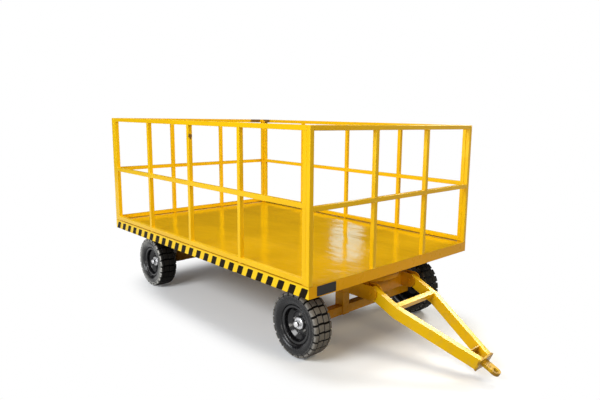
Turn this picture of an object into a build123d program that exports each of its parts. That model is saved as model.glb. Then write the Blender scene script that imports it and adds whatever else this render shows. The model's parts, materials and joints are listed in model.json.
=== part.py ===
from build123d import *
import os
from math import atan2, cos, degrees, radians, sin

# Airport baggage trailer: a flat deck with a tube fence on all four sides,
# a fixed rear axle, a front bogie on a turntable and a lifting A-frame drawbar.
# +X is forward, towards the tow eye, +Y is left, +Z is up and z = 0 is the ground.

# Deck and chassis
deck_length = 2500
deck_width = 1620
deck_underside = 502
frame_depth = 68
sheet_thickness = 3
channel_flange = 40
channel_wall = 4
end_beam_width = 40
cross_member_width = 50
middle_member_x = 60
longeron_gap = 360

# Fence
tube = 30
rear_post = 40
fence_height = 880
side_mid_rail = 446
front_mid_rail = 430
side_post_spacing = 598
end_post_spacing = 522
panel_foot = 6
foot_inset = 3

# Tyres, with a tread of blocks
tyre_radius = 212.5
tyre_width = 150
bead_radius = 112
bead_width = 100
crown_width = 118
shoulder_drop = 17
bulge_height = 30
bulge_inset = 5
lug_count = 24
lug_gap = 9

# Rims and hubs
rim_wall = 6
rim_lip_height = 12
rim_lip_width = 5
rim_step = 24
disc_level = 8
disc_edge_radius = 78
hub_radius = 42
hub_inner = 34
hub_outer = 14
washer_radius = 38
washer_height = 11
washer_bore = 30
washer_recess = 7
cap_radius = 21
cap_length = 36
cap_edge = 3
track = 1148
front_axle_setback = 320
rear_axle_setback = 273

# Axles, with the running clearance of the hubs
axle_beam = 60
spindle_radius = 20
spindle_clearance = 0.05
spindle_end_gap = 4
beam_end_gap = 76
leg_depth = 76
front_leg_width = 60
front_leg_spacing = 410
rear_leg_width = 80
rear_leg_spacing = 746

# Turntable
ring_outer_radius = 270
ring_width = 46
ring_thickness = 29
ring_gap = 2

# Bogie frame and its lugs
bogie_tube = 50
bogie_depth = 100
bogie_length = 430
bogie_width = 454
lug_thickness = 10
lug_radius = 47.5
lug_clearance = 5
lug_lap = 45

# Drawbar, sloping down to the tow eye
pivot_setback = 48
pivot_height = 395
pin_radius = 12
pin_clearance = 0.05
pin_head = 6
drawbar_slope = 23.4
arm_spread = 404
arm_width = 40
arm_depth = 74
bend_distance = 206
arm_reach = 738
arm_end_spread = 94
crossbar_size = 36
end_plate_thickness = 12
end_plate_overhang = 4
brace_setback = 81
brace_thickness = 10
tongue_width = 60
tongue_thickness = 22
eye_distance = 76
eye_hole_radius = 15

# Rear hitch, a jaw for the tow eye of a following trailer
hitch_length = 70
hitch_width = 90
hitch_plate = 12
hitch_gap = 44
hitch_drop = 130
hitch_hole_radius = 16
hitch_web = 60

# Places worked out from the sizes
half_length = deck_length / 2
half_width = deck_width / 2
slope = radians(drawbar_slope)
plate_distance = arm_reach + end_plate_thickness
tip_distance = plate_distance + eye_distance + tongue_width / 2
tip_offset = half_length - pivot_setback + tip_distance * cos(slope) + tongue_thickness / 2 * sin(slope)
tail_offset = -half_length - hitch_length
deck_x = -(tip_offset + tail_offset) / 2
front_x = deck_x + half_length
rear_x = deck_x - half_length
front_axle_x = front_x - front_axle_setback
rear_axle_x = rear_x + rear_axle_setback
pivot_x = front_x - pivot_setback
frame_top = deck_underside + frame_depth
deck_top = frame_top + sheet_thickness
fence_top = deck_top + fence_height
top_rail_z = fence_top - tube / 2
bottom_rail_z = deck_top + panel_foot + tube / 2
side_rail_y = half_width - tube / 2
panel_front_x = front_x - tube
panel_rear_x = rear_x + rear_post
axle_z = tyre_radius
axle_top = axle_z + axle_beam / 2
bogie_top = deck_underside - 2 * ring_thickness - ring_gap
bogie_bottom = bogie_top - bogie_depth
arm_y = arm_spread / 2
arm_end_y = arm_end_spread / 2
beam_half = track / 2 - beam_end_gap


def keep(block, name):
    block.part.label = name
    export_step(block.part, f"parts/{name}.step")


os.makedirs("parts", exist_ok=True)

# Deck sheet, lying on the chassis frame
with BuildPart() as deck_sheet:
    with BuildSketch(Plane.XY.offset(frame_top)):
        with Locations((deck_x, 0)):
            Rectangle(deck_length, deck_width)
    extrude(amount=sheet_thickness)
keep(deck_sheet, "deck_sheet")

# Side channels, open towards the middle, between the two end beams
for side, name in ((1, "left"), (-1, "right")):
    with BuildPart() as channel:
        with BuildSketch(Plane.YZ.offset(rear_x + end_beam_width)):
            with Locations((side * (half_width - channel_flange / 2), deck_underside + frame_depth / 2)):
                Rectangle(channel_flange, frame_depth)
            inner_y = side * (half_width - channel_wall - channel_flange / 2)
            with Locations((inner_y, deck_underside + frame_depth / 2)):
                Rectangle(channel_flange, frame_depth - 2 * channel_wall, mode=Mode.SUBTRACT)
        extrude(amount=deck_length - 2 * end_beam_width)
    keep(channel, f"{name}_side_channel")

# End beams, closed tubes over the full width
for x, name in ((front_x - end_beam_width / 2, "front"), (rear_x + end_beam_width / 2, "rear")):
    with BuildPart() as beam:
        with BuildSketch(Plane.XZ):
            with Locations((x, deck_underside + frame_depth / 2)):
                Rectangle(end_beam_width, frame_depth)
        extrude(amount=half_width, both=True)
    keep(beam, f"{name}_beam")

# Cross members under the sheet: a pair over each axle and one in the middle
member_xs = [
    rear_axle_x - longeron_gap / 2,
    rear_axle_x + longeron_gap / 2,
    deck_x - middle_member_x,
    front_axle_x - longeron_gap / 2 - cross_member_width / 2,
    front_axle_x + longeron_gap / 2 + cross_member_width / 2,
]
with BuildPart() as cross_members:
    with BuildSketch(Plane.XY.offset(deck_underside)):
        with Locations(*[(x, 0) for x in member_xs]):
            Rectangle(cross_member_width, deck_width - 2 * channel_flange)
    extrude(amount=frame_depth)
keep(cross_members, "cross_members")

# Longerons over the turntable, between its two cross members
with BuildPart() as turntable_longerons:
    with BuildSketch(Plane.XY.offset(deck_underside)):
        with Locations((front_axle_x, 0)):
            with GridLocations(0, longeron_gap + cross_member_width, 1, 2):
                Rectangle(longeron_gap, cross_member_width)
    extrude(amount=frame_depth)
keep(turntable_longerons, "turntable_longerons")

# Corner posts: slim ones in front, wider ones at the rear
for x, size, name in ((front_x, tube, "front"), (rear_x, rear_post, "rear")):
    inward = -1 if x > deck_x else 1
    with BuildPart() as corner_posts:
        with BuildSketch(Plane.XY.offset(deck_top)):
            with Locations((x + inward * size / 2, 0)):
                with GridLocations(0, deck_width - size, 1, 2):
                    Rectangle(size, size)
        extrude(amount=fence_height)
    keep(corner_posts, f"{name}_corner_posts")

# Side fences: three rails and five posts each, standing on small feet
panel_length = panel_front_x - panel_rear_x
side_mid_z = deck_top + side_mid_rail
side_post_xs = [panel_rear_x + tube / 2, panel_front_x - tube / 2]
side_post_xs += [deck_x + count * side_post_spacing for count in (-1, 0, 1)]
for side, name in ((1, "left"), (-1, "right")):
    with BuildPart() as rails:
        with BuildSketch(Plane.YZ.offset(panel_rear_x)):
            with Locations(*[(side * side_rail_y, z) for z in (bottom_rail_z, side_mid_z, top_rail_z)]):
                Rectangle(tube, tube)
        extrude(amount=panel_length)
        with BuildSketch(Plane.XY.offset(deck_top)):
            with Locations(*[(x, side * side_rail_y) for x in side_post_xs]):
                Rectangle(tube - 2 * foot_inset, tube - 2 * foot_inset)
        extrude(amount=panel_foot + tube / 2)
    keep(rails, f"{name}_fence_rails")
    with BuildPart() as posts:
        for low, high in ((bottom_rail_z, side_mid_z), (side_mid_z, top_rail_z)):
            with BuildSketch(Plane.XY.offset(low + tube / 2)):
                with Locations(*[(x, side * side_rail_y) for x in side_post_xs]):
                    Rectangle(tube, tube)
            extrude(amount=high - low - tube)
    keep(posts, f"{name}_fence_posts")

# Front fence: two rails between the corner posts, two posts down to the deck
front_fence_x = front_x - tube / 2
front_mid_z = deck_top + front_mid_rail
with BuildPart() as front_fence_rails:
    with BuildSketch(Plane.XZ):
        with Locations((front_fence_x, front_mid_z), (front_fence_x, top_rail_z)):
            Rectangle(tube, tube)
    extrude(amount=half_width - tube, both=True)
keep(front_fence_rails, "front_fence_rails")
with BuildPart() as front_fence_posts:
    for low, high in ((deck_top, front_mid_z - tube / 2), (front_mid_z + tube / 2, top_rail_z - tube / 2)):
        with BuildSketch(Plane.XY.offset(low)):
            with Locations((front_fence_x, 0)):
                with GridLocations(0, end_post_spacing, 1, 2):
                    Rectangle(tube, tube)
        extrude(amount=high - low)
keep(front_fence_posts, "front_fence_posts")

# Rear fence: three rails between the corner posts, two posts
rear_fence_x = rear_x + tube / 2
with BuildPart() as rear_fence_rails:
    with BuildSketch(Plane.XZ):
        with Locations(*[(rear_fence_x, z) for z in (bottom_rail_z, side_mid_z, top_rail_z)]):
            Rectangle(tube, tube)
    extrude(amount=half_width - rear_post, both=True)
    with BuildSketch(Plane.XY.offset(deck_top)):
        with Locations((rear_fence_x, 0)):
            with GridLocations(0, end_post_spacing, 1, 2):
                Rectangle(tube - 2 * foot_inset, tube - 2 * foot_inset)
    extrude(amount=panel_foot + tube / 2)
keep(rear_fence_rails, "rear_fence_rails")
with BuildPart() as rear_fence_posts:
    for low, high in ((bottom_rail_z, side_mid_z), (side_mid_z, top_rail_z)):
        with BuildSketch(Plane.XY.offset(low + tube / 2)):
            with Locations((rear_fence_x, 0)):
                with GridLocations(0, end_post_spacing, 1, 2):
                    Rectangle(tube, tube)
        extrude(amount=high - low - tube)
keep(rear_fence_posts, "rear_fence_posts")

# Turntable rings, the upper one under the deck frame, the lower one on the bogie
ring_inner_radius = ring_outer_radius - ring_width
for z, name in ((deck_underside - ring_thickness, "upper"), (bogie_top, "lower")):
    with BuildPart() as ring:
        with BuildSketch(Plane.XY.offset(z)):
            with Locations((front_axle_x, 0)):
                Circle(ring_outer_radius)
                Circle(ring_inner_radius, mode=Mode.SUBTRACT)
        extrude(amount=ring_thickness)
    keep(ring, f"{name}_turntable_ring")

# Bogie frame under the lower ring: two side members and three cross members
with BuildPart() as bogie_side_members:
    with BuildSketch(Plane.XY.offset(bogie_bottom)):
        with Locations((front_axle_x, 0)):
            with GridLocations(0, bogie_width - bogie_tube, 1, 2):
                Rectangle(bogie_length, bogie_tube)
    extrude(amount=bogie_depth)
keep(bogie_side_members, "bogie_side_members")
with BuildPart() as bogie_cross_members:
    with BuildSketch(Plane.XY.offset(bogie_bottom)):
        with Locations((front_axle_x, 0)):
            with GridLocations((bogie_length - bogie_tube) / 2, 0, 3, 1):
                Rectangle(bogie_tube, bogie_width - 2 * bogie_tube)
    extrude(amount=bogie_depth)
keep(bogie_cross_members, "bogie_cross_members")

# Axles: a square beam with a turned spindle at each end
spindle_half = track / 2 + hub_outer - spindle_end_gap
for x, name in ((front_axle_x, "front"), (rear_axle_x, "rear")):
    with BuildPart() as axle:
        with BuildSketch(Plane.XZ):
            with Locations((x, axle_z)):
                Rectangle(axle_beam, axle_beam)
        extrude(amount=beam_half, both=True)
        with BuildSketch(Plane.XZ):
            with Locations((x, axle_z)):
                Circle(spindle_radius)
        extrude(amount=spindle_half, both=True)
    keep(axle, f"{name}_axle")

# Legs: saddles over the axle beams that carry the bogie frame and the deck frame
for x, spread, width, high, name in (
    (front_axle_x, front_leg_spacing, front_leg_width, bogie_bottom, "bogie_legs"),
    (rear_axle_x, rear_leg_spacing, rear_leg_width, deck_underside, "rear_axle_legs"),
):
    with BuildPart() as legs:
        with BuildSketch(Plane.XY.offset(axle_z - axle_beam / 2)):
            with Locations((x, 0)):
                with GridLocations(0, spread, 1, 2):
                    Rectangle(leg_depth, width)
        extrude(amount=high - axle_z + axle_beam / 2)
        with BuildSketch(Plane.XZ):
            with Locations((x, axle_z)):
                Rectangle(axle_beam, axle_beam)
        extrude(amount=beam_half, both=True, mode=Mode.SUBTRACT)
    keep(legs, name)

# Rear bearers between the cross members, on top of the rear legs
with BuildPart() as rear_bearers:
    with BuildSketch(Plane.XY.offset(deck_underside)):
        with Locations((rear_axle_x, 0)):
            with GridLocations(0, rear_leg_spacing, 1, 2):
                Rectangle(longeron_gap - cross_member_width, rear_leg_width)
    extrude(amount=frame_depth)
keep(rear_bearers, "rear_bearers")

# Drawbar lugs: an inner and an outer round-ended plate for each arm, the outer
# ones lapped over the side members, the inner ones butted to the front one
bogie_front_x = front_axle_x + bogie_length / 2
lug_shift = arm_width / 2 + lug_clearance + lug_thickness / 2
with BuildPart() as drawbar_lugs:
    for side in (-1, 1):
        for lug_y, back_x in ((arm_y + lug_shift, bogie_front_x - lug_lap), (arm_y - lug_shift, bogie_front_x)):
            middle_y = side * lug_y
            with BuildSketch(Plane.XZ.offset(-middle_y)):
                with Locations(((back_x + pivot_x) / 2, pivot_height)):
                    Rectangle(pivot_x - back_x, 2 * lug_radius)
                with Locations((pivot_x, pivot_height)):
                    Circle(lug_radius)
                    Circle(pin_radius + pin_clearance, mode=Mode.SUBTRACT)
            extrude(amount=lug_thickness / 2, both=True)
keep(drawbar_lugs, "drawbar_lugs")

# The drawbar's plane lies along its slope, with its origin on the pivot line
drawbar_plane = Plane(
    origin=(pivot_x, 0, pivot_height),
    x_dir=(cos(slope), 0, -sin(slope)),
    z_dir=(sin(slope), 0, cos(slope)),
)
arm_low = drawbar_plane.offset(-arm_depth / 2)
side_plane = Plane(origin=drawbar_plane.origin, x_dir=drawbar_plane.x_dir, z_dir=(0, -1, 0))

# Arms: side by side from the pivot to the bend, then drawn in to the end plate,
# with their heels rounded about the pivot
bend_turn = atan2(arm_y - arm_end_y, arm_reach - bend_distance)
bend_shift = arm_width / 2 * (1 - cos(bend_turn)) / sin(bend_turn)
end_half = arm_width / 2 / cos(bend_turn)
for side, name in ((1, "left"), (-1, "right")):
    with BuildPart() as arm:
        with BuildSketch(arm_low):
            with BuildLine():
                Polyline(
                    (-arm_depth / 2, side * (arm_y + arm_width / 2)),
                    (bend_distance + bend_shift, side * (arm_y + arm_width / 2)),
                    (arm_reach, side * (arm_end_y + end_half)),
                    (arm_reach, side * (arm_end_y - end_half)),
                    (bend_distance - bend_shift, side * (arm_y - arm_width / 2)),
                    (-arm_depth / 2, side * (arm_y - arm_width / 2)),
                    close=True,
                )
            make_face()
        extrude(amount=arm_depth)
        with BuildSketch(side_plane):
            with Locations((arm_reach / 2, 0)):
                Rectangle(arm_reach, arm_depth)
            Circle(arm_depth / 2)
            Circle(pin_radius, mode=Mode.SUBTRACT)
        extrude(amount=arm_spread, both=True, mode=Mode.INTERSECT)
    keep(arm, f"{name}_drawbar_arm")

# Pivot pins, fixed in the arms and running in the lugs
pin_half = lug_shift + lug_thickness / 2 + pin_head
with BuildPart() as drawbar_pins:
    for y in (-arm_y, arm_y):
        with BuildSketch(Plane.XZ.offset(-y)):
            with Locations((pivot_x, pivot_height)):
                Circle(pin_radius)
        extrude(amount=pin_half, both=True)
keep(drawbar_pins, "drawbar_pins")

# Crossbar between the arms, up to the bend, its top level with theirs
with BuildPart() as crossbar:
    with BuildSketch(drawbar_plane.offset(arm_depth / 2 - crossbar_size)):
        with Locations((bend_distance - bend_shift - crossbar_size / 2, 0)):
            Rectangle(crossbar_size, arm_spread - arm_width)
    extrude(amount=crossbar_size)
keep(crossbar, "drawbar_crossbar")

# Brace plate between the arms, near the end plate
brace_distance = arm_reach - brace_setback
brace_share = (brace_distance - bend_distance) / (arm_reach - bend_distance)
brace_half = arm_y + (arm_end_y - arm_y) * brace_share - end_half
taper = (arm_y - arm_end_y) / (arm_reach - bend_distance) * brace_thickness
with BuildPart() as brace:
    with BuildSketch(arm_low):
        with BuildLine():
            Polyline(
                (brace_distance, brace_half),
                (brace_distance + brace_thickness, brace_half - taper),
                (brace_distance + brace_thickness, taper - brace_half),
                (brace_distance, -brace_half),
                close=True,
            )
        make_face()
    extrude(amount=arm_depth)
keep(brace, "drawbar_brace")

# End plate square across the arms' front ends
with BuildPart() as end_plate:
    with BuildSketch(drawbar_plane.offset(-arm_depth / 2 - end_plate_overhang)):
        with Locations((arm_reach + end_plate_thickness / 2, 0)):
            Rectangle(end_plate_thickness, arm_end_spread + 2 * end_half + 2 * end_plate_overhang)
    extrude(amount=arm_depth + 2 * end_plate_overhang)
keep(end_plate, "drawbar_end_plate")

# Tongue with the tow eye at its rounded end
with BuildPart() as tongue:
    with BuildSketch(drawbar_plane.offset(-tongue_thickness / 2)):
        with Locations((plate_distance + eye_distance / 2, 0)):
            Rectangle(eye_distance, tongue_width)
        with Locations((plate_distance + eye_distance, 0)):
            Circle(tongue_width / 2)
            Circle(eye_hole_radius, mode=Mode.SUBTRACT)
    extrude(amount=tongue_thickness)
keep(tongue, "drawbar_tongue")

# Rear hitch: a web under the rear beam that carries two plates with a pin hole
hitch_low = deck_underside - hitch_drop
with BuildPart() as rear_hitch:
    with BuildSketch(Plane.XY.offset(hitch_low)):
        with Locations((rear_x + hitch_web / 2, 0)):
            Rectangle(hitch_web, hitch_width)
    extrude(amount=hitch_drop)
    for z in (hitch_low, hitch_low + hitch_plate + hitch_gap):
        with BuildSketch(Plane.XY.offset(z)):
            with Locations((rear_x - (hitch_length - hitch_width / 2) / 2, 0)):
                Rectangle(hitch_length - hitch_width / 2, hitch_width)
            with Locations((rear_x - hitch_length + hitch_width / 2, 0)):
                Circle(hitch_width / 2)
                Circle(hitch_hole_radius, mode=Mode.SUBTRACT)
        extrude(amount=hitch_plate)
keep(rear_hitch, "rear_hitch")

# Wheel pieces, made once about the Z axis with the wheel's outer side up
half_tyre = tyre_width / 2
half_bead = bead_width / 2
half_crown = crown_width / 2
lip_radius = bead_radius + rim_lip_height
barrel_radius = bead_radius - rim_wall
shoulder_radius = tyre_radius - shoulder_drop
half_bulge = half_tyre - bulge_inset

# Slot between two rows of tread blocks, as deep as the shoulder
with BuildPart() as tread_slot:
    with BuildSketch(Plane.XZ):
        with Locations((tyre_radius, 0)):
            Rectangle(2 * shoulder_drop, 2 * tyre_width)
    revolve(axis=Axis.Z, revolution_arc=degrees(lug_gap / tyre_radius))

with BuildPart() as plain_tyre:
    with BuildSketch(Plane.XZ):
        with BuildLine():
            Polyline(
                (bead_radius, half_bead),
                (lip_radius, half_bead),
                (lip_radius + bulge_height, half_bulge),
                (shoulder_radius, half_tyre),
                (tyre_radius, half_crown),
                (tyre_radius, -half_crown),
                (shoulder_radius, -half_tyre),
                (lip_radius + bulge_height, -half_bulge),
                (lip_radius, -half_bead),
                (bead_radius, -half_bead),
                close=True,
            )
        make_face()
    revolve(axis=Axis.Z)
    with PolarLocations(0, lug_count):
        add(tread_slot.part, mode=Mode.SUBTRACT)

with BuildPart() as plain_rim:
    with BuildSketch(Plane.XZ):
        with BuildLine():
            Polyline(
                (lip_radius, half_bead + rim_lip_width),
                (lip_radius, half_bead),
                (bead_radius, half_bead),
                (bead_radius, -half_bead),
                (lip_radius, -half_bead),
                (lip_radius, -half_bead - rim_lip_width),
                (barrel_radius, -half_bead - rim_lip_width),
                (barrel_radius, rim_step - rim_wall),
                (disc_edge_radius, disc_level - rim_wall),
                (hub_radius, disc_level - rim_wall),
                (hub_radius, -hub_inner),
                (spindle_radius + spindle_clearance, -hub_inner),
                (spindle_radius + spindle_clearance, hub_outer),
                (hub_radius, hub_outer),
                (hub_radius, disc_level),
                (disc_edge_radius, disc_level),
                (barrel_radius, rim_step),
                (barrel_radius, half_bead + rim_lip_width),
                close=True,
            )
        make_face()
    revolve(axis=Axis.Z)

with BuildPart() as plain_hub_cap:
    with BuildSketch(Plane.XZ):
        with BuildLine():
            washer_top = hub_outer + washer_height
            cap_top = washer_top - washer_recess + cap_length
            Polyline(
                (0, hub_outer),
                (washer_radius, hub_outer),
                (washer_radius, washer_top),
                (washer_bore, washer_top),
                (washer_bore, washer_top - washer_recess),
                (cap_radius, washer_top - washer_recess),
                (cap_radius, cap_top - cap_edge),
                (cap_radius - cap_edge, cap_top),
                (0, cap_top),
                close=True,
            )
        make_face()
    revolve(axis=Axis.Z)

# Four wheels, each with its outer side outward
for x, side, name in (
    (front_axle_x, 1, "front_left"),
    (front_axle_x, -1, "front_right"),
    (rear_axle_x, 1, "rear_left"),
    (rear_axle_x, -1, "rear_right"),
):
    wheel_plane = Plane(origin=(x, side * track / 2, axle_z), x_dir=(1, 0, 0), z_dir=(0, side, 0))
    for piece, kind in ((plain_tyre, "tyre"), (plain_rim, "rim"), (plain_hub_cap, "hub_cap")):
        with BuildPart(wheel_plane) as placed:
            add(piece.part)
        keep(placed, f"{name}_{kind}")
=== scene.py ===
import json
import math
import bmesh
import bpy
import numpy as np
from mathutils import Matrix, Vector


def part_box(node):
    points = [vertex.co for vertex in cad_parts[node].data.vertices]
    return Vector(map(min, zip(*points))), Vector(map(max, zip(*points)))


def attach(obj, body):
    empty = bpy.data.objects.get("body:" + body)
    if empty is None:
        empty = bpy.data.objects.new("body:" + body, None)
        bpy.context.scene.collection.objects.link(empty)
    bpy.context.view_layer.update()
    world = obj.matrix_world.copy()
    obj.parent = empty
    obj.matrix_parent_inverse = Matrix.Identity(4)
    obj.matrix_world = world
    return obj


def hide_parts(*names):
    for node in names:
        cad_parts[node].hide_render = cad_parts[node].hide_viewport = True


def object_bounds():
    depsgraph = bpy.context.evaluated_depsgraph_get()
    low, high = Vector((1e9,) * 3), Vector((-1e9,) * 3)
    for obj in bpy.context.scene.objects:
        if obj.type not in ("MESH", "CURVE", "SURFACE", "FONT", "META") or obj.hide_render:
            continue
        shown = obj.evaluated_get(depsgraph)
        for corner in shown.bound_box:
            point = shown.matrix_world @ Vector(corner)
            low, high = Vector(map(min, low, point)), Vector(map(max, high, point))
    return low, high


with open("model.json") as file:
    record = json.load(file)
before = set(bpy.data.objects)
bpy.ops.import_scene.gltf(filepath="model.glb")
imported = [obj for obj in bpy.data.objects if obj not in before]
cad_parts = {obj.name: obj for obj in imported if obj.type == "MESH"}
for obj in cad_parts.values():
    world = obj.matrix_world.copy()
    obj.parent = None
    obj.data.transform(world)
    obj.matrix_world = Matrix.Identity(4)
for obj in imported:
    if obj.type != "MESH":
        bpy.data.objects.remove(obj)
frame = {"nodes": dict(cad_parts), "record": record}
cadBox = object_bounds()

scene = bpy.context.scene
nodes = frame["nodes"]
fullTurn = 2 * math.pi
print("frame loaded:", len(nodes), "nodes")

deckLow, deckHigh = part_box("deck_sheet")
deckMiddle = (deckLow + deckHigh) / 2
beamLow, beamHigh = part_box("front_beam")

cameraView = {
    "reach": 3.264,  # metres in front of the deck's middle
    "side": -2.664,
    "rise": 0.997,  # above the band's lower edge
    "azimuth": 44.712,
    "elevation": 9.110,
    "roll": 1.036,
    "focus": 521.87,  # focal length in pixels of a 600 pixel wide picture
    "centre": (333.55, 200.10),
    "picture": (600, 400),
}


def addCamera(values):
    data = bpy.data.cameras.new("camera")
    camera = bpy.data.objects.new("camera", data)
    scene.collection.objects.link(camera)
    azimuth, elevation = math.radians(values["azimuth"]), math.radians(values["elevation"])
    roll = math.radians(values["roll"])
    flat = math.cos(elevation)
    back = Vector((math.sin(azimuth) * flat, -math.cos(azimuth) * flat, math.sin(elevation)))
    right = Vector((0, 0, 1)).cross(back).normalized()
    up = back.cross(right)
    turnedRight = right * math.cos(roll) + up * math.sin(roll)
    turnedUp = up * math.cos(roll) - right * math.sin(roll)
    camera.matrix_world = Matrix((turnedRight, turnedUp, back)).transposed().to_4x4()
    camera.location = (deckMiddle.x + values["reach"], values["side"], beamLow.z + values["rise"])
    width, height = values["picture"]
    data.sensor_width = 36
    data.lens = values["focus"] / width * data.sensor_width
    data.shift_x = -(values["centre"][0] - width / 2) / width
    data.shift_y = (values["centre"][1] - height / 2) / width
    data.clip_end = 200
    scene.camera = camera


addCamera(cameraView)
print("camera placed")


# Node helpers: inputs are values or sockets, settings are the node's own fields
def put(tree, kind, inputs=None, **settings):
    made = tree.nodes.new("ShaderNode" + kind)
    for name, value in settings.items():
        setattr(made, name, value)
    for name, value in (inputs or {}).items():
        if isinstance(value, bpy.types.NodeSocket):
            tree.links.new(value, made.inputs[name])
        else:
            made.inputs[name].default_value = value
    return made


def noise(tree, place, scale, detail=3.0, rough=0.5):
    made = put(tree, "TexNoise", {"Vector": place, "Scale": scale, "Detail": detail, "Roughness": rough})
    return made.outputs["Fac"]


def spread(tree, value, low, high, bottom=0.0, top=1.0):
    inputs = {"Value": value, "From Min": low, "From Max": high, "To Min": bottom, "To Max": top}
    return put(tree, "MapRange", inputs, interpolation_type="SMOOTHSTEP").outputs["Result"]


def calc(tree, operation, *values):
    return put(tree, "Math", dict(enumerate(values)), operation=operation).outputs[0]


def bumped(tree, height, strength, depth):
    inputs = {"Height": height, "Strength": strength, "Distance": depth}
    return put(tree, "Bump", inputs).outputs[0]


def attribute(tree, name):
    return put(tree, "Attribute", attribute_name=name).outputs["Fac"]


def product(tree, first, *others):
    for value in others:
        first = calc(tree, "MULTIPLY", first, value)
    return first


def total(tree, first, *others):
    for value in others:
        first = calc(tree, "ADD", first, value)
    return first


def blendColour(tree, share, first, second):
    return put(tree, "Mix", {0: share, 6: first, 7: second}, data_type="RGBA").outputs[2]


def newTree(name):
    material = bpy.data.materials.new(name)
    material.use_nodes = True
    tree = material.node_tree
    tree.nodes.clear()
    place = put(tree, "TexCoord").outputs["Object"]
    return material, tree, place


def close(tree, shader):
    put(tree, "OutputMaterial", {"Surface": shader})


def paint(tree, tone, rough, normal, shine, tint=(1, 1, 1, 1)):
    close(tree, put(tree, "BsdfPrincipled", {
        "Base Color": tone,
        "Roughness": rough,
        "Normal": normal,
        "Specular IOR Level": shine,
        "Specular Tint": tint,
    }).outputs[0])


def squeeze(tree, place, x, y, z):
    return put(tree, "Mapping", {"Vector": place, "Scale": (x, y, z)}).outputs[0]


def colour(red, green, blue):
    return (red, green, blue, 1)


# Sprayed enamel: two tones in soft clouds, dust low down, fine specks and a few scuffs, over a surface
# with orange peel, sags and, where the sheet is wide, long waves
def enamel(name, values):
    material, tree, place = newTree(name)
    clouds = spread(tree, noise(tree, place, values["clouds"], 4), 0.35, 0.7)
    tone = blendColour(tree, clouds, values["colour"], values["shade"])
    grime = noise(tree, place, values["grimeScale"], 6, 0.65)
    up = put(tree, "SeparateXYZ", {"Vector": place}).outputs["Z"]
    low = spread(tree, up, 0.05, values["dustHeight"], 1.0, 0.0)
    dust = product(tree, low, spread(tree, grime, 0.45, 0.75), values["dust"])
    tone = blendColour(tree, dust, tone, values["dustColour"])
    specks = spread(tree, noise(tree, place, values["speckScale"], 2), 0.74, 0.8)
    tone = blendColour(tree, product(tree, specks, values["specks"]), tone, values["speckColour"])
    for middle, reach in values["scuffs"]:
        away = put(tree, "VectorMath", {0: place, 1: middle}, operation="DISTANCE").outputs["Value"]
        frayed = total(tree, calc(tree, "DIVIDE", away, reach), noise(tree, place, 45, 6, 0.7))
        tone = blendColour(tree, spread(tree, frayed, 1.05, 1.2, 1.0, 0.0), tone, values["scuffColour"])
    peel = noise(tree, place, values["peel"], 2)
    sag = noise(tree, squeeze(tree, place, 1, 1, 0.35), values["sagScale"], 2)
    wave = noise(tree, squeeze(tree, place, 1, 2, 1), values["waveScale"], 2)
    height = total(tree, peel, product(tree, sag, values["sag"]), product(tree, wave, values["wave"]))
    normal = bumped(tree, height, values["bump"], values["depth"])
    rough = spread(tree, total(tree, grime, dust), 0.3, 1.2, values["gloss"], values["gloss"] + 0.22)
    paint(tree, tone, rough, normal, values["shine"], values["shineColour"])
    return material


frameEnamelLook = {
    "colour": colour(0.88, 0.54, 0.005),
    "shade": colour(0.84, 0.49, 0.005),
    "clouds": 2.2,
    "grimeScale": 23,
    "dust": 0.35,
    "dustHeight": 0.5,
    "dustColour": colour(0.36, 0.25, 0.10),
    "specks": 0.2,
    "speckScale": 310,
    "speckColour": colour(0.62, 0.34, 0.01),
    "peel": 420,
    "sag": 3,
    "sagScale": 26,
    "wave": 0,
    "waveScale": 2.6,
    "bump": 0.07,
    "depth": 0.0006,
    "gloss": 0.17,
    "shine": 0.4,
    "shineColour": colour(1.0, 0.68, 0.09),
    "scuffs": [  # middle and reach
        ((-1.57, 0.68, 1.45), 0.10),
        ((-1.49, 0.79, 1.45), 0.08),
        ((-0.30, -0.80, 1.345), 0.045),
    ],
    "scuffColour": colour(0.20, 0.11, 0.03),
}
deckEnamelLook = {
    **frameEnamelLook,
    "colour": colour(0.74, 0.42, 0.004),
    "shade": colour(0.66, 0.365, 0.003),
    "clouds": 1.1,
    "scuffs": [],
    "dust": 0.0,
    "peel": 240,
    "bump": 0.2,
    "wave": 48,
    "gloss": 0.08,
    "shine": 0.3,
}
# The parts under the deck: a darker, more orange yellow with more dust, partly their own dirtier paint and
# partly painted shade for the shade under the deck
underDirtAndShadeEnamelLook = {
    **frameEnamelLook,
    "colour": colour(0.66, 0.30, 0.004),
    "shade": colour(0.55, 0.23, 0.003),
    "dust": 0.5,
    "scuffs": [],
    "gloss": 0.26,
    "shine": 0.35,
}
# The rear axle's parts: the same paint nearly brown-black, which is painted shade for the deep shade under
# the deck's rear end
rearShadeEnamelLook = {
    **underDirtAndShadeEnamelLook,
    "colour": colour(0.20, 0.075, 0.004),
    "shade": colour(0.13, 0.05, 0.004),
}
wornEnamelLook = {
    **frameEnamelLook,
    "scuffs": [],
    "colour": colour(0.74, 0.44, 0.02),
    "shade": colour(0.30, 0.16, 0.02),
    "clouds": 26,
    "specks": 0.8,
    "speckColour": colour(0.10, 0.05, 0.02),
    "gloss": 0.3,
    "shine": 0.3,
}
frameEnamel = enamel("frameEnamel", frameEnamelLook)
deckEnamel = enamel("deckEnamel", deckEnamelLook)
underDirtAndShadeEnamel = enamel("underDirtAndShadeEnamel", underDirtAndShadeEnamelLook)
rearShadeEnamel = enamel("rearShadeEnamel", rearShadeEnamelLook)
wornEnamel = enamel("wornEnamel", wornEnamelLook)

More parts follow.
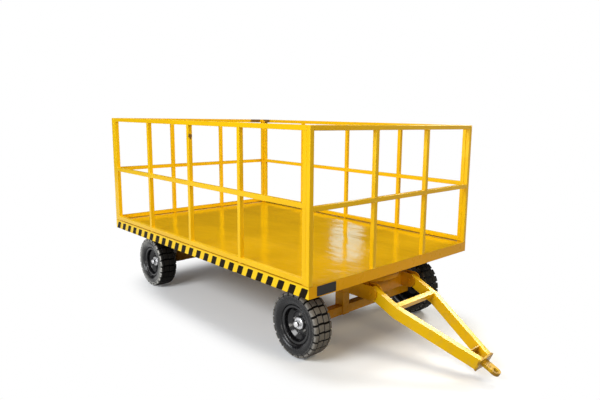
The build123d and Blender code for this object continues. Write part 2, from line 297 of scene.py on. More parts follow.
bandLook = {
    # Inside the tape, chiefly on the beams' front and back faces, the yellow is more orange than the frame's:
    # painted shade, for the shaded look of those faces
    "colour": colour(0.88, 0.44, 0.004),
    "shade": colour(0.84, 0.405, 0.004),
    "clouds": 3,
    "grimeScale": 30,
    "peel": 420,
    "bump": 0.07,
    "depth": 0.0006,
    "gloss": 0.26,
    "shine": 0.25,
    "shineColour": colour(1.0, 0.68, 0.09),
    "tape": colour(0.92, 0.60, 0.012),
    "tapeEdge": 0.0022,  # how far the tape reaches in over the rounded edges
    "barPitch": 0.100,
    "barCount": 40,  # more than there is room for, so the pattern never runs below zero
    "barFirst": 0.045,  # behind the front corner, at the bar's middle
    "barWidth": 0.054,
    "barLean": 0.46,  # metres forward for each metre up
    "barLow": -0.010,  # from the band's lower edge
    "barHigh": 0.058,
    "barColour": colour(0.012, 0.009, 0.006),
    "barShine": 0.15,  # share of the paint's shine left on the bars
    "corner": 0.006,
    "ripple": 0.003,
    "barRelief": 2,  # height of the bars' paint, against the peel's
}


# Taped sides with painted bars: a rounded box is repeated along the side, leaning forward as it goes
# up, and a point is in the bar where its distance from the box's inner core is under the corner radius
def stripedEnamel(name, values):
    material, tree, place = newTree(name)
    parts = put(tree, "SeparateXYZ", {"Vector": place}).outputs
    up = calc(tree, "SUBTRACT", parts["Z"], beamLow.z + (values["barLow"] + values["barHigh"]) / 2)
    forward = calc(tree, "SUBTRACT", parts["X"], beamHigh.x - values["barFirst"])
    forward = calc(tree, "SUBTRACT", forward, product(tree, up, values["barLean"]))
    pitch = values["barPitch"]
    forward = calc(tree, "PINGPONG", total(tree, forward, pitch * values["barCount"]), pitch / 2)
    corner = values["corner"]
    halfWide = values["barWidth"] / 2 - corner
    halfHigh = (values["barHigh"] - values["barLow"]) / 2 - corner
    overX = calc(tree, "MAXIMUM", calc(tree, "SUBTRACT", forward, halfWide), 0)
    overZ = calc(tree, "MAXIMUM", calc(tree, "SUBTRACT", calc(tree, "ABSOLUTE", up), halfHigh), 0)
    away = calc(tree, "SQRT", total(tree, product(tree, overX, overX), product(tree, overZ, overZ)))
    ripple = product(tree, calc(tree, "SUBTRACT", noise(tree, place, 60, 2), 0.5), values["ripple"])
    bar = spread(tree, total(tree, away, ripple), corner - 0.0008, corner + 0.0008, 1.0, 0.0)
    side = calc(tree, "ABSOLUTE", parts["Y"])
    outside = calc(tree, "GREATER_THAN", side, deckHigh.y - values["tapeEdge"])
    bar = product(tree, bar, outside)
    clouds = spread(tree, noise(tree, place, values["clouds"], 4), 0.35, 0.7)
    # inside the tape the more orange yellow is painted shade
    tone = blendColour(tree, clouds, values["colour"], values["shade"])
    tone = blendColour(tree, outside, tone, values["tape"])
    tone = blendColour(tree, bar, tone, values["barColour"])
    height = total(tree, noise(tree, place, values["peel"], 2), product(tree, bar, values["barRelief"]))
    normal = bumped(tree, height, values["bump"], values["depth"])
    grime = noise(tree, place, values["grimeScale"], 5)
    rough = spread(tree, grime, 0.3, 0.8, values["gloss"], values["gloss"] + 0.16)
    shine = product(tree, values["shine"], spread(tree, bar, 0, 1, 1.0, values["barShine"]))
    paint(tree, tone, rough, normal, shine, values["shineColour"])
    return material


bandEnamel = stripedEnamel("bandEnamel", bandLook)

rubberLook = {
    "wall": colour(0.004, 0.004, 0.005),
    # the blocks' grey: dust on the tread, made light enough for its lit look too, so partly painted light
    "block": colour(0.23, 0.215, 0.19),
    "groove": colour(0.002, 0.002, 0.002),
    # the edge colour: rubbed rubber and a painted highlight on the shoulders and the rib ring
    "edge": colour(0.46, 0.45, 0.42),
    "dust": colour(0.20, 0.20, 0.185),
    "dusty": 0.03,
    "patches": 9,
    "wornAndHighlit": 0.4,
    "grain": 90,
    "pores": 520,
    "gloss": 0.17,
    "shine": 0.34,
    "dullShine": 0.05,  # on the blocks and in the grooves
}
dustyShadedRubberLook = {
    **rubberLook,
    "dusty": 0.75,
    # lighter, stronger edges on the rear tyres: more painted highlight, as the deck shades them
    "wornAndHighlit": 1.4,
    # near-black blocks: painted shade on the rear tyres' treads
    "block": colour(0.020, 0.019, 0.017),
    "edge": colour(0.72, 0.71, 0.66),
    "dust": colour(0.36, 0.36, 0.33),
}
# the far front tyre: the same rubber with near-black blocks, which is painted shade
shadedRubberLook = {**rubberLook, "block": colour(0.030, 0.029, 0.026)}


# Rubber: masks on the mesh pick block, groove, rubbed edge, partly real wear and partly a painted highlight,
# and the dusty outer part of the wall
def rubber(name, values):
    material, tree, place = newTree(name)
    tread, groove, edge, outer = (attribute(tree, mask) for mask in ("tread", "groove", "edge", "outer"))
    grain = noise(tree, place, values["grain"], 5, 0.6)
    block = product(tree, tread, spread(tree, grain, 0.2, 0.7, 0.65, 1.0))
    tone = blendColour(tree, block, values["wall"], values["block"])
    patches = spread(tree, noise(tree, place, values["patches"], 5, 0.7), 0.30, 0.75)
    tone = blendColour(tree, product(tree, patches, values["dusty"], outer), tone, values["dust"])
    rubbedAndHighlit = product(tree, edge, values["wornAndHighlit"], spread(tree, grain, 0.35, 0.6))
    tone = blendColour(tree, rubbedAndHighlit, tone, values["edge"])
    tone = blendColour(tree, groove, tone, values["groove"])
    normal = bumped(tree, noise(tree, place, values["pores"], 3), 0.08, 0.0006)
    rough = spread(tree, total(tree, grain, product(tree, tread, 0.5)), 0.3, 1.3, values["gloss"], 0.75)
    dull = calc(tree, "MAXIMUM", groove, tread)
    paint(tree, tone, rough, normal, spread(tree, dull, 0, 1, values["shine"], values["dullShine"]))
    return material


tyreRubber = rubber("tyreRubber", rubberLook)
dustyShadedRubber = rubber("dustyShadedRubber", dustyShadedRubberLook)
shadedRubber = rubber("shadedRubber", shadedRubberLook)

rimEnamelLook = {
    **frameEnamelLook,
    "scuffs": [],
    "colour": colour(0.005, 0.005, 0.006),
    "shade": colour(0.008, 0.008, 0.009),
    "clouds": 9,
    "dust": 0.12,
    "dustHeight": 0.45,
    "dustColour": colour(0.09, 0.085, 0.08),
    "specks": 0.3,
    "speckColour": colour(0.05, 0.05, 0.05),
    "bump": 0.2,
    "gloss": 0.11,
    "shineColour": colour(1, 1, 1),
}
rimEnamel = enamel("rimEnamel", rimEnamelLook)


# Turned steel: fine rings of bright and dull metal with a little haze
def steel(name, values):
    material, tree, place = newTree(name)
    haze = noise(tree, place, values["haze"], 5, 0.6)
    tone = blendColour(tree, spread(tree, haze, 0.4, 0.75), values["bright"], values["dull"])
    lines = noise(tree, squeeze(tree, place, 1, 14, 1), values["lines"], 2)
    close(tree, put(tree, "BsdfPrincipled", {
        "Base Color": tone,
        "Metallic": 1.0,
        "Roughness": spread(tree, haze, 0.3, 0.8, values["gloss"], values["gloss"] + 0.2),
        "Normal": bumped(tree, lines, 0.12, 0.0004),
    }).outputs[0])
    return material


hubSteelLook = {
    "bright": colour(0.78, 0.78, 0.79),
    "dull": colour(0.5616, 0.5616, 0.5688),
    "gloss": 0.2,
    "haze": 40,
    "lines": 160,
}
nutSteelLook = {
    **hubSteelLook,
    "bright": colour(0.16, 0.155, 0.15),
    "dull": colour(0.1152, 0.1116, 0.108),
    "gloss": 0.35,
}
hubSteel = steel("hubSteel", hubSteelLook)
nutSteel = steel("nutSteel", nutSteelLook)

plateBlackLook = {
    **frameEnamelLook,
    "scuffs": [],
    "colour": colour(0.008, 0.008, 0.009),
    "shade": colour(0.014, 0.014, 0.014),
    "dust": 0.0,
    "speckColour": colour(0.05, 0.05, 0.05),
    "gloss": 0.3,
    "shine": 0.25,
    "shineColour": colour(1, 1, 1),
}
plateBlack = enamel("plateBlack", plateBlackLook)
print("materials made")

nodePaint = {
    "yellow_paint": frameEnamel,
    "deck_yellow": deckEnamel,
    "striped_band": bandEnamel,
    "tyre_rubber": tyreRubber,
    "black_paint": rimEnamel,
    "bright_steel": hubSteel,
}
edgeLook = {
    "tube": 0.0032,
    "beam": 0.0018,
    "plate": 0.0015,
    "segments": 3,
    "sharper": 35,  # degrees; flatter edges stay as they are
}
edgeKinds = {
    "tube": ("fence_rails", "fence_posts", "corner_posts", "drawbar_arm", "crossbar", "axle", "side_members"),
    "beam": ("_beam", "side_channel", "legs", "cross_members", "longerons", "bearers"),
    "plate": ("lugs", "end_plate", "brace", "tongue", "hitch", "pins", "ring"),
}


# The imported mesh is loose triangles, so they are joined into flat faces before the Bevel rounds the edges
def roundEdges(piece, width):
    weld = piece.modifiers.new("weld", "WELD")
    weld.merge_threshold = 0.00002
    flats = piece.modifiers.new("flats", "DECIMATE")
    flats.decimate_type = "DISSOLVE"
    flats.angle_limit = math.radians(0.5)
    bevel = piece.modifiers.new("edges", "BEVEL")
    bevel.width = width
    bevel.segments = edgeLook["segments"]
    bevel.limit_method = "ANGLE"
    bevel.angle_limit = math.radians(edgeLook["sharper"])
    normals = piece.modifiers.new("normals", "WEIGHTED_NORMAL")
    normals.keep_sharp = False


slotOf = {part["node"]: part["material_slot"] for part in frame["record"]["subparts"]}
# The beams take the band's paint, and with it the painted-shade yellow on their faces inside the tape
slotOf.update({"front_beam": "striped_band", "rear_beam": "striped_band"})
underParts = ("bogie", "axle", "legs", "bearers", "longerons", "cross_members", "turntable", "lugs", "pins")
wornParts = ("drawbar_tongue", "drawbar_end_plate", "drawbar_brace")


# The drawbar's end is worn; what lies under the deck is darker and more orange, partly its own dirtier paint
# and partly painted shade, and the rear parts there are nearly brown-black, which is painted shade; the rest
# goes by its slot
def coatOf(name):
    if name in wornParts:
        return wornEnamel
    if not any(word in name for word in underParts):
        return nodePaint[slotOf[name]]
    return rearShadeEnamel if name.startswith("rear") else underDirtAndShadeEnamel


for name, piece in nodes.items():
    piece.data.materials.clear()
    piece.data.materials.append(coatOf(name))
    for kind, words in edgeKinds.items():
        if any(word in name for word in words):
            roundEdges(piece, edgeLook[kind])
            break
print("frame pieces painted")


# A stack of grids becomes one mesh: points are (grid, u, v, xyz), v closes on itself and u may.
# A face joins a point with the next along u, the next along both and the next along v
def gridPiece(name, points, body, material, roundU=False, capEnds=False):
    if points.ndim == 3:
        points = points[None]
    count, sizeU, sizeV = points.shape[:3]
    u, v = np.meshgrid(np.arange(sizeU if roundU else sizeU - 1), np.arange(sizeV), indexing="ij")
    nextU, nextV = (u + 1) % sizeU, (v + 1) % sizeV
    corners = (u * sizeV + v, nextU * sizeV + v, nextU * sizeV + nextV, u * sizeV + nextV)
    quads = np.stack(corners, -1).reshape(-1, 4)
    start = (np.arange(count) * sizeU * sizeV)[:, None, None]
    faces = (quads[None] + start).reshape(-1, 4).tolist()
    if capEnds:
        ring = np.arange(sizeV)
        ends = np.stack((ring[::-1], ring + (sizeU - 1) * sizeV))
        faces += (ends[None] + start).reshape(-1, sizeV).tolist()
    mesh = bpy.data.meshes.new(name)
    mesh.from_pydata(points.reshape(-1, 3), [], faces)
    shape = bmesh.new()
    shape.from_mesh(mesh)
    bmesh.ops.remove_doubles(shape, verts=shape.verts, dist=0.000002)
    bmesh.ops.recalc_face_normals(shape, faces=shape.faces)
    shape.to_mesh(mesh)
    shape.free()
    mesh.shade_smooth()
    mesh.materials.append(material)
    piece = bpy.data.objects.new(name, mesh)
    scene.collection.objects.link(piece)
    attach(piece, body)
    return piece


# A polygon whose corners give way to curves: each starts and ends at the given distance from its
# corner, and is (1-t) squared of the start, 2t(1-t) of the corner and t squared of the end
def roundedLine(corners, distances, steps=5, closed=False):
    corners = np.asarray(corners, float)
    distances = np.broadcast_to(np.asarray(distances, float), len(corners))

    def leaving(neighbours):
        reach = neighbours - corners
        length = np.linalg.norm(reach, axis=1)
        step = np.minimum(distances, length * 0.45) / length
        return (corners + reach * step[:, None])[:, None]

    first, last = leaving(np.roll(corners, 1, 0)), leaving(np.roll(corners, -1, 0))
    t = np.linspace(0, 1, steps)[None, :, None]
    curves = first * (1 - t) ** 2 + corners[:, None] * 2 * t * (1 - t) + last * t ** 2
    if closed:
        return curves.reshape(-1, 2)
    return np.concatenate((corners[:1], curves[1:-1].reshape(-1, 2), corners[-1:]))


# Points at given lengths along a line of points
def along(line, lengths):
    steps = np.linalg.norm(np.diff(line, axis=0), axis=1)
    run = np.concatenate(([0], np.cumsum(steps)))
    return np.stack([np.interp(lengths, run, line[:, axis]) for axis in (0, 1)], -1)


tyreLow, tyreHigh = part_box("front_left_tyre")
rimLow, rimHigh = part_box("front_left_rim")
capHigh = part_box("front_left_hub_cap")[1]
tyreRadius = (tyreHigh.z - tyreLow.z) / 2
tyreHalf = (tyreHigh.y - tyreLow.y) / 2
lipRadius = (rimHigh.z - rimLow.z) / 2
rimHalf = (rimHigh.y - rimLow.y) / 2

tyreShape = {
    "pitches": 24,
    "slot": 0.0132,
    "slotDepth": 0.0115,
    "groove": 0.0084,
    "grooveDepth": 0.85,  # share of the slots' depth
    "columnEdge": 0.0450,
    "stagger": 0.0024,
    "chamfer": 0.06,  # share of the slots' depth, along their rims
    "notchRadius": 0.1868,  # where the slots run out on the side
    "ribRadius": 0.1815,
    "rib": 0.0014,
    "beadRibRadius": 0.1340,
    "beadRib": 0.0008,
    "beadHalf": 0.0496,
    "beadRadius": 0.1122,
    "wallStart": 0.0600,  # from the tyre's middle, as the next two
    "carcass": 0.0500,  # the carcass line leaves the section here
    "rubbedHighlightAcross": 0.0700,
    "rubbedHighlightRadius": 0.1980,
    "dustRadius": (0.1350, 0.1800),  # the wall's dust starts and is full here
}


# A bump of height one: e to minus the square of the distance from the middle over the width
def hump(values, middle, width):
    return np.exp(-((values - middle) / width) ** 2)


# Half of the tyre's section, from the crown's middle to the bore's, at the lengths that the grid
# uses, with those lengths and which of them are outside the bore
def tyreSection(values):
    half, radius, edge, groove = tyreHalf - 0.0004, tyreRadius, values["columnEdge"], values["groove"] / 2
    bead = values["beadHalf"]
    corners = [
        (0, radius), (0.052, radius - 0.0008), (0.0675, radius - 0.0062), (half - 0.0026, radius - 0.0195),
        (half - 0.0030, radius - 0.0300), (half + 0.0010, radius - 0.0500), (half - 0.0040, radius - 0.0680),
        (half - 0.0130, radius - 0.0820), (0.0540, lipRadius + 0.0018), (bead, lipRadius + 0.0010),
        (bead, values["beadRadius"]), (0, values["beadRadius"]),
    ]
    rounding = (0, 0.012, 0.007, 0.006, 0.006, 0.010, 0.009, 0.008, 0.006, 0.001, 0.001, 0)
    line = roundedLine(corners, rounding, 9)
    whole = np.linalg.norm(np.diff(line, axis=0), axis=1).sum()
    bore = whole - bead
    crown = [
        0, groove - 0.0004, groove + 0.0004, groove + 0.002, 0.011, 0.020, 0.029, 0.037,
        edge - groove - 0.002, edge - groove - 0.0004, edge - groove + 0.0004,
        edge + groove - 0.0004, edge + groove + 0.0004, edge + groove + 0.002, 0.0525,
    ]
    lengths = np.concatenate((crown, np.linspace(0.0555, bore, 40), np.linspace(bore, whole, 4)[1:]))
    return along(line, lengths), lengths, lengths < bore - 0.01


# The tyre: its section goes round the axle; slots and grooves draw its points from the section
# towards a carcass line inside it, and each column of blocks is turned a little
def tyreGrid(values):
    radius, edge, groove = tyreRadius, values["columnEdge"], values["groove"] / 2
    section, lengths, wall = tyreSection(values)
    across, rise = section[:, 0], section[:, 1]
    inGroove = (lengths < groove) | (np.abs(lengths - edge) < groove)
    outside = wall * (across > values["wallStart"])
    across = across + values["rib"] * hump(rise, values["ribRadius"], 0.0016) * outside
    across = across + values["beadRib"] * hump(rise, values["beadRibRadius"], 0.0014) * wall
    share = np.clip((rise - values["notchRadius"]) / (radius - values["notchRadius"]), 0, 1)
    carcass = values["carcass"]
    insideAcross = np.minimum(across, carcass) + np.maximum(across - carcass, 0) * 0.5
    insideRise = rise - values["slotDepth"] * share
    fade = np.clip((rise - values["notchRadius"]) / 0.004, 0, 1) * wall
    turn = np.interp(across, (0, groove, edge - groove, edge + groove, 1), (0, 1, 1, -1, -1))

    def bothSides(column, sign=1):
        return np.concatenate((column[::-1], sign * column[1:-1]))

    across, insideAcross, turn = (bothSides(column, -1) for column in (across, insideAcross, turn))
    rise, insideRise, fade, inGroove = (bothSides(column) for column in (rise, insideRise, fade, inGroove))
    pitch = fullTurn * radius / values["pitches"]
    slot = values["slot"] / 2
    local = np.array([0, slot * 0.55, slot - 0.0005, slot + 0.0005, slot + 0.0022, 0.0115, 0.0165, 0.0220])
    local = np.concatenate((-local[:0:-1], local, [pitch / 2]))
    inSlot = np.tile(np.abs(local) < slot, values["pitches"])
    rim = np.tile(np.abs(np.abs(local) - slot - 0.0005) < 0.0002, values["pitches"])
    places = (np.arange(values["pitches"])[:, None] * pitch + local[None]).ravel()
    depth = np.maximum(inSlot[None] * fade[:, None], (inGroove * values["grooveDepth"])[:, None])
    depth = np.maximum(depth, rim[None] * values["chamfer"] * fade[:, None])
    y = across[:, None] + (insideAcross - across)[:, None] * depth
    r = rise[:, None] + (insideRise - rise)[:, None] * depth
    angle = (places[None] + turn[:, None] * values["stagger"]) / radius
    points = np.stack((r * np.cos(angle), y, r * np.sin(angle)), -1)
    dark = np.clip(depth * 1.4, 0, 1)
    # the shoulders' corners and the wall's rib ring get a light edge: partly rubbed wear, partly painted
    # highlight
    wornAndHighlit = hump(np.abs(across), values["rubbedHighlightAcross"], 0.0050) * hump(rise, values["rubbedHighlightRadius"], 0.0070)
    wornAndHighlit = wornAndHighlit + 0.4 * hump(rise, values["ribRadius"], 0.0030) * (np.abs(across) > values["wallStart"])
    outer = np.interp(rise, values["dustRadius"], (0, 1)) * (rise < 0.199)
    return points, {
        "tread": (1 - np.clip(depth * 3, 0, 1)) * np.clip((rise - 0.190) / 0.006, 0, 1)[:, None],
        "groove": dark,
        "edge": wornAndHighlit[:, None] * (depth < 0.05),
        "outer": outer[:, None] * (1 - dark),
    }


treadPoints, treadMasks = tyreGrid(tyreShape)
rimShape = {
    "lipRound": 0.0030,
    "flange": 0.0050,
    "seat": 0.0120,  # below the lip
    "barrel": 0.1050,
    "step": 0.0240,
    "slopeFoot": 0.0800,
    "disc": 0.0040,
    "ringRadius": 0.0700,
    "ring": 0.0030,
    "hubRadius": 0.0420,
    "hubOut": 0.0140,
    "hubIn": -0.0340,
    "bore": 0.0202,
    "wall": 0.0060,
}


# A turned piece: a line of (radius, place along the axle) goes once round the axle
def turnedGrid(line, steps=96):
    angle = np.arange(steps) * fullTurn / steps
    r, y = line[:, :1], line[:, 1:]
    return np.stack((r * np.cos(angle), y * np.ones(steps), r * np.sin(angle)), -1)


# The rim's closed section: flanges, seat, barrel, sloped dish, hub and a pressed ring
def rimLine(values):
    disc, back, ring = values["disc"], values["disc"] - values["wall"], values["ringRadius"]
    seat, inner = lipRadius - values["seat"], rimHalf - values["flange"]
    hub, bore, barrel, foot = (values[part] for part in ("hubRadius", "bore", "barrel", "slopeFoot"))
    raised = disc + values["ring"]
    corners = [
        (lipRadius, rimHalf), (lipRadius, inner), (seat, inner), (seat, -inner),
        (lipRadius, -inner), (lipRadius, -rimHalf), (barrel + 0.001, -rimHalf),
        (barrel + 0.001, values["step"] - values["wall"]), (foot, back), (hub, back),
        (hub, values["hubIn"]), (bore, values["hubIn"]), (bore, values["hubOut"]), (hub, values["hubOut"]),
        (hub, disc), (ring - 0.005, disc), (ring - 0.003, raised), (ring + 0.003, raised),
        (ring + 0.005, disc), (foot, disc), (barrel - 0.001, values["step"]),
        (barrel, rimHalf - 0.008), (barrel + 0.004, rimHalf),
    ]
    return roundedLine(corners, values["lipRound"], 6, closed=True)


capReach = capHigh.y - tyreLow.y - tyreHalf  # from the wheel's middle plane to the cap's end
capShape = {
    "washer": 0.0380,
    "washerTop": 0.0250,
    "bore": 0.0300,
    "recess": 0.0180,
    "cap": 0.0210,
    "foot": 0.0141,
}


# The cap's section: a thick washer with a recess, and a domed cap that stands in it
def capLine(values):
    washer, top, recess, cap = (values[part] for part in ("washer", "washerTop", "recess", "cap"))
    corners = [
        (0, values["foot"]), (washer, values["foot"]), (washer, top), (values["bore"], top),
        (values["bore"] - 0.001, recess), (cap + 0.0015, recess), (cap, recess + 0.003),
        (cap - 0.0006, capReach - 0.004), (cap - 0.006, capReach - 0.0006), (0, capReach),
    ]
    return roundedLine(corners, (0, 0.001, 0.0025, 0.0015, 0.001, 0.001, 0.002, 0.004, 0.006, 0), 6)


nutShape = {
    "count": 5,
    "first": 0.3,  # share of the angle between two nuts
    "circle": 0.0560,
    "across": 0.0095,
    "height": 0.0090,
    "washer": 0.0125,
}


# Hex nuts in a circle: a ring's radius is half the width over the flats divided by the cosine of the
# angle from the nearest flat's middle, and a cone cuts the corners back at the top
def nutGrids(values, steps=48):
    across, height = values["across"], values["height"]
    angle = np.arange(steps) * fullTurn / steps
    flat = across / np.cos((angle + math.pi / 6) % (math.pi / 3) - math.pi / 6)
    level = np.ones(steps)
    rings = [
        (values["washer"] * level, 0), (values["washer"] * level, 0.0016), (flat, 0.0017),
        (flat, height * 0.86), (np.minimum(flat, across * 1.04), height), (across * 0.62 * level, height),
        (across * 0.58 * level, height * 1.35), (across * 0.50 * level, height * 1.42),
    ]
    nut = np.stack([np.stack((r * np.cos(angle), y * level, r * np.sin(angle)), -1) for r, y in rings])
    turns = (np.arange(values["count"]) + values["first"]) * fullTurn / values["count"]
    spots = np.stack((np.cos(turns), 0 * turns, np.sin(turns)), -1) * values["circle"]
    spots[:, 1] = rimShape["disc"]
    return nut[None] + spots[:, None, None]


rimPoints = turnedGrid(rimLine(rimShape))
capPoints = turnedGrid(capLine(capShape))
nutPoints = nutGrids(nutShape)
# each tyre takes the copy for its light: the near front one lit, the far front and rear ones with painted
# shade
wheelCoats = {
    "front_left": shadedRubber,
    "front_right": tyreRubber,
    "rear_left": dustyShadedRubber,
    "rear_right": dustyShadedRubber,
}
for wheel, coat in wheelCoats.items():
    low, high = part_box(wheel + "_tyre")
    centre = (low + high) / 2
    mirror = np.array((1, 1 if centre.y > 0 else -1, 1))
    body = wheel + "_wheel"
    tyre, rim, cap, nuts = (
        points * mirror + np.array(centre) for points in (treadPoints, rimPoints, capPoints, nutPoints)
    )
    tyrePiece = gridPiece(wheel + "_tread", tyre, body, coat, roundU=True)
    for name, mask in treadMasks.items():
        layer = tyrePiece.data.attributes.new(name, "FLOAT", "POINT")
        layer.data.foreach_set("value", mask.astype(np.float32).ravel())
    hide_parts(wheel + "_tyre")
    rimPiece = gridPiece(wheel + "_dish", rim, body, rimEnamel, roundU=True)
    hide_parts(wheel + "_rim")
    capPiece = gridPiece(wheel + "_grease_cap", cap, body, hubSteel)
    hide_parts(wheel + "_hub_cap")
    gridPiece(wheel + "_nuts", nuts, body, nutSteel, capEnds=True)
print("wheels made")

plateShape = {
    "wide": 0.150,
    "high": 0.058,
    "from": 0.748,  # its outer end, to the right of the middle
    "low": 0.007,  # above the beam's lower edge
    "thick": 0.003,
    "corner": 0.006,
    "edge": 0.001,
}


# The plate: a rounded rectangle against the beam, built up in rings with softened edges
def plateGrid(values):
    y = -values["from"] + values["wide"] / 2
    z = beamLow.z + values["low"] + values["high"] / 2
    halfY, halfZ, edge, thick = values["wide"] / 2, values["high"] / 2, values["edge"], values["thick"]
    square = [(halfY, halfZ), (-halfY, halfZ), (-halfY, -halfZ), (halfY, -halfZ)]
    line = roundedLine(square, values["corner"], 7, closed=True)
    inward = line / np.linalg.norm(line, axis=1, keepdims=True)
    layers = []
    for inset, rise in ((edge, 0), (0, edge), (0, thick - edge), (edge, thick), (edge * 4, thick)):
        layer = line - inward * inset
        layers.append(np.stack((np.full(len(line), beamHigh.x + rise), y + layer[:, 0], z + layer[:, 1]), -1))
    return np.stack(layers)


gridPiece("front_plate", plateGrid(plateShape), "chassis", plateBlack, capEnds=True)
print("plate made")

weldShape = {"radius": 0.0022, "pitch": 0.0042, "ripple": 0.16, "corner": 0.003, "sides": 8}
weldLow, weldHigh = (np.array(corner) for corner in cadBox)
railLow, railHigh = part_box("left_fence_rails")
tubeHalf = (railHigh.y - railLow.y) / 2


# Weld beads: a small tube, whose radius swells by a sine of the way round, follows a rounded square
# round the foot of a fence post, and is ground flush where it would stand out past the trailer's sides
def beadGrids(centres, values):
    square = [(tubeHalf, tubeHalf), (-tubeHalf, tubeHalf), (-tubeHalf, -tubeHalf), (tubeHalf, -tubeHalf)]
    line = roundedLine(square, values["corner"], 4, closed=True)
    line = np.concatenate((line, line[:1]))
    whole = np.linalg.norm(np.diff(line, axis=0), axis=1).sum()
    lengths = np.linspace(0, whole, int(whole / values["pitch"]) * 4, endpoint=False)
    path = along(line, lengths)
    away = np.where(np.abs(path) / tubeHalf > 0.96, np.sign(path), 0)
    away = away / np.maximum(np.linalg.norm(away, axis=1, keepdims=True), 1e-6)
    around = np.arange(values["sides"]) * fullTurn / values["sides"]
    size = values["radius"] * (1 + values["ripple"] * np.sin(lengths * fullTurn / values["pitch"]))[:, None]
    flat = path[:, None] + away[:, None] * (np.cos(around)[None] * size)[..., None]
    rise = np.sin(around)[None] * size
    points = np.asarray(centres)[:, None, None] + np.concatenate((flat, rise[..., None]), -1)[None]
    return np.clip(points, weldLow, weldHigh)


# The sorted places of a node's faces along an axis, and the middles of its bars there
def levels(node, axis):
    mesh = nodes[node].data
    spots = np.empty(len(mesh.vertices) * 3)
    mesh.vertices.foreach_get("co", spots)
    return np.unique(np.round(spots.reshape(-1, 3)[:, axis], 4))


def middles(node, axis):
    found = levels(node, axis)
    return (found[0::2] + found[1::2]) / 2


for number, side in enumerate(("left", "right", "front", "rear"), 1):
    node = side + "_fence_posts"
    low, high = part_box(node)
    xs, ys = [(low.x + high.x) / 2], [(low.y + high.y) / 2]
    if side in ("left", "right"):
        xs = middles(node, 0)
    else:
        ys = middles(node, 1)
    feet = np.stack(np.meshgrid(xs, ys, levels(node, 2), indexing="ij"), -1).reshape(-1, 3)
    beads = beadGrids(feet, weldShape)
    gridPiece("fence_welds_" + str(number), beads, "chassis", frameEnamel, roundU=True)
print("welds made")

lampSet = {
    "side": {
        "place": (0.4, -5.8, 4.4),
        "aim": (0.0, 0, 0.6),
        "size": (4.5, 2.2),
        "power": 300,
        "tint": (0.99, 0.99, 1.0),
    },
    "kick": {
        "place": (-2.9, -7.0, 0.8),
        "aim": (-0.3, -0.6, 0.3),
        "size": (2.8, 1.3),
        "power": 105,
        "tint": (0.92, 0.96, 1.0),
    },
    "sky": {
        "place": (0.7, 4.4, 4.0),
        "aim": (0.6, 0, 0.4),
        "size": (2.8, 1.3),
        "power": 165,
        "tint": (1.0, 0.99, 0.96),
    },
    "low": {
        "place": (3.6, -5.0, 1.0),
        "aim": (1.1, 0, 0.4),
        "size": (2.2, 1.4),
        "power": 62,
        "tint": (1.0, 0.96, 0.9),
    },
    "top": {
        "place": (-0.8, 0.0, 6.0),
        "aim": (-0.4, 0, 0.4),
        "size": (5.0, 4.0),
        "power": 122,
        "tint": (1, 1, 1),
    },
    "front": {
        "place": (5.4, 0.6, 4.2),
        "aim": (0, 0, 0.6),
        "size": (2.4, 2.0),
        "power": 98,
        "tint": (1.0, 0.82, 0.55),
    },
    "window": {
        "place": (-5.1, 5.9, 2.5),
        "aim": (0.2, 0.2, 0.6),
        "size": (0.78, 0.95),
        "power": 3.4,
        "tint": (0.34, 0.74, 1.0),
    },
}


def addLamp(name, values):
    data = bpy.data.lights.new(name + "Lamp", "AREA")
    data.shape = "ELLIPSE"
    data.size, data.size_y = values["size"]
    data.energy = values["power"]
    data.color = values["tint"]
    lamp = bpy.data.objects.new(name + "Lamp", data)
    lamp.location = values["place"]
    lamp.rotation_mode = "QUATERNION"
    direction = Vector(values["aim"]) - Vector(values["place"])
    lamp.rotation_quaternion = direction.to_track_quat("-Z", "Y")
    lamp.visible_camera = False
    scene.collection.objects.link(lamp)


for name, values in lampSet.items():
    addLamp(name, values)

roomLook = {
    "air": colour(0.95, 0.96, 1.0),
    "airLevel": 0.22,
    "floorBounce": colour(0.16, 0.16, 0.16),
    "floorWhite": colour(0.95, 0.98, 1.0),
    "floorLift": 0.03,
    "floorSize": 80,
    "floorDrop": 0.0005,
    "shadowReach": (0.84, 1.14),  # the floor fades to plain white here, as shares of the trailer's half size
}


# Camera, glossy and transmitted rays see white; the others see the studio's soft grey
def seenDirectly(tree):
    path = put(tree, "LightPath").outputs
    seen = calc(tree, "MAXIMUM", path["Is Camera Ray"], path["Is Glossy Ray"])
    return calc(tree, "MAXIMUM", seen, path["Is Transmission Ray"])


def mixShaders(tree, share, first, second):
    return put(tree, "MixShader", {0: share, 1: first.outputs[0], 2: second.outputs[0]})


world = bpy.data.worlds.new("studio")
scene.world = world
world.use_nodes = True
tree = world.node_tree
tree.nodes.clear()
air = put(tree, "Background", {"Color": roomLook["air"], "Strength": roomLook["airLevel"]})
white = put(tree, "Background", {"Color": colour(1, 1, 1), "Strength": 1.0})
put(tree, "OutputWorld", {"Surface": mixShaders(tree, seenDirectly(tree), air, white).outputs[0]})


def stagePlane(name, corners, material):
    mesh = bpy.data.meshes.new(name)
    mesh.from_pydata(corners, [], [tuple(range(len(corners)))])
    mesh.materials.append(material)
    card = bpy.data.objects.new(name, mesh)
    scene.collection.objects.link(card)
    return card


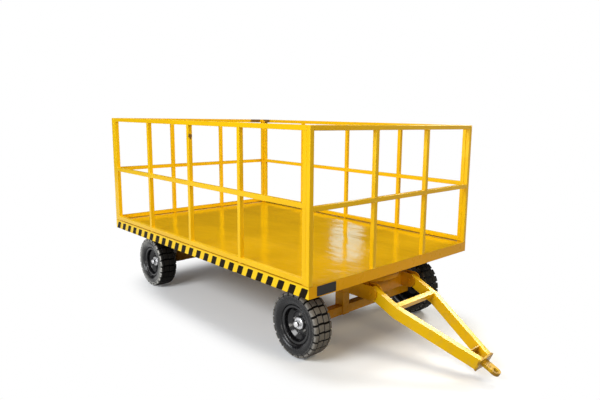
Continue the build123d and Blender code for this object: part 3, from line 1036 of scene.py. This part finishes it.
# Seen directly, the floor is white paint near the trailer, where the shadows show, and glowing white
# farther out. The distance is the fourth root of the sum of x and y to the fourth, each as a share of
# the trailer's half size. Light that bounces off the floor meets a plain grey
floorPaint, tree, place = newTree("floorPaint")
bounce = put(tree, "BsdfDiffuse", {"Color": roomLook["floorBounce"]})
painted = put(tree, "BsdfDiffuse", {"Color": roomLook["floorWhite"]})
lift = put(tree, "Emission", {"Color": colour(1, 1, 1), "Strength": roomLook["floorLift"]})
near = put(tree, "AddShader", {0: painted.outputs[0], 1: lift.outputs[0]})
far = put(tree, "Emission", {"Color": colour(1, 1, 1), "Strength": 1.0})
halfSize = (cadBox[1] - cadBox[0]) / 2
share = squeeze(tree, place, 1 / halfSize.x, 1 / halfSize.y, 0)
squared = put(tree, "VectorMath", {0: share, 1: share}, operation="MULTIPLY").outputs[0]
distance = calc(tree, "SQRT", put(tree, "VectorMath", {0: squared}, operation="LENGTH").outputs["Value"])
shown = mixShaders(tree, spread(tree, distance, *roomLook["shadowReach"]), near, far)
close(tree, mixShaders(tree, seenDirectly(tree), bounce, shown).outputs[0])
end, drop = roomLook["floorSize"] / 2, -roomLook["floorDrop"]
stagePlane("floor", [(-end, -end, drop), (end, -end, drop), (end, end, drop), (-end, end, drop)], floorPaint)

# Dark walls far off, as in a workshop, that only show in glossy paint and rubber
wallLook = {
    "middles": {"farWall": (-6.6, 7.2), "sideWall": (-8.6, -4.6)},
    "wide": 12.0,
    "high": 4.6,
    "tone": colour(0.035, 0.032, 0.028),
    "soot": colour(0.06, 0.055, 0.05),
    "sootScale": 0.8,
}
wallPaint, tree, place = newTree("wallPaint")
soot = blendColour(tree, noise(tree, place, wallLook["sootScale"]), wallLook["tone"], wallLook["soot"])
close(tree, put(tree, "BsdfDiffuse", {"Color": soot}).outputs[0])
for name, spot in wallLook["middles"].items():
    middle = Vector(spot)
    reach = Vector((-middle.y, middle.x)).normalized() * wallLook["wide"] / 2
    first, last, top = middle - reach, middle + reach, wallLook["high"]
    wall = stagePlane(name, [(*first, 0), (*last, 0), (*last, top), (*first, top)], wallPaint)
    wall.visible_camera = False
    wall.visible_diffuse = False
    wall.visible_shadow = False
print("studio lit")

scene.view_settings.view_transform = "Standard"
